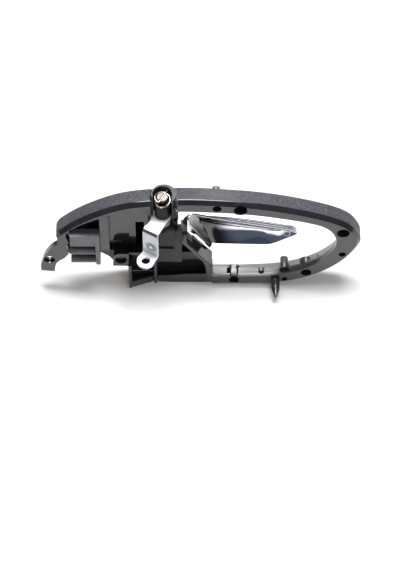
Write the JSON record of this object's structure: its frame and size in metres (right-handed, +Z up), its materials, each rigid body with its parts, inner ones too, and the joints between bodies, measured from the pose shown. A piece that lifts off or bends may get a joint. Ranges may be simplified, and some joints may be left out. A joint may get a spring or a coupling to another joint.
{
  "type": "car interior door handle",
  "caption": "Inner door handle of a car: an oval ring with a hinged chrome pull, a bearing bracket with a return spring, a plated crank lever for the latch cable, a ribbed clip and a screw ear.",
  "frame": {"origin": "on the ring's back face, which seats against the door panel, at the middle of the ring's lower edge", "axes": "+X along the ring from the hinge towards the handle's tip, +Y from the door towards the cabin, +Z up"},
  "size_m": [0.2198, 0.0448, 0.0986],
  "materials": {
    "carrier": "glossy black moulding",
    "trim": "fine grain, charcoal",
    "bracket": "matte black moulding",
    "clip": "semi-gloss dark grey",
    "chrome": "bright chrome plate",
    "zinc": "bright zinc plate",
    "steel": "bright steel",
    "spring_steel": "drawn wire",
    "bushing": "ivory plain bearing plastic",
    "collar": "greased black plastic",
    "rubber": "black rubber"
  },
  "bodies": {
    "carrier": {"carrier_upper_rail": "carrier", "carrier_end_upper": "carrier", "carrier_end_lower": "carrier", "carrier_lower_rail": "carrier", "carrier_left_rail": "carrier", "carrier_clip_bay": "carrier", "carrier_panel": "carrier", "carrier_box": "carrier", "carrier_pocket": "carrier", "carrier_sweep_top": "carrier", "carrier_ear": "carrier", "trim_ring": "trim", "pivot_bracket": "bracket", "upper_bushing": "bushing", "lower_bushing": "bushing", "thrust_washer": "steel", "return_spring": "spring_steel", "cable_clip": "clip", "clip_pin": "steel", "trim_screw_1": "steel", "trim_screw_2": "steel", "trim_screw_3": "steel", "trim_screw_4": "steel"},
    "lever": {"pull_handle": "chrome", "pivot_pin": "steel", "pin_retainer": "steel", "spacer_sleeve": "steel", "spring_collar": "collar", "crank_lever": "zinc", "handle_bumper": "rubber", "handle_pad": "rubber"}
  },
  "joints": [
    {"name": "handle_pivot", "type": "hinge", "parent": "carrier", "child": "lever", "pos_m": [-0.0307, 0.005, 0.045], "axis": [0, 0, 1], "range_deg": [0, 40], "stiffness_Nm_per_rad": 0.08, "springref_deg": -34.38, "deforming": ["return_spring"]}
  ]
}
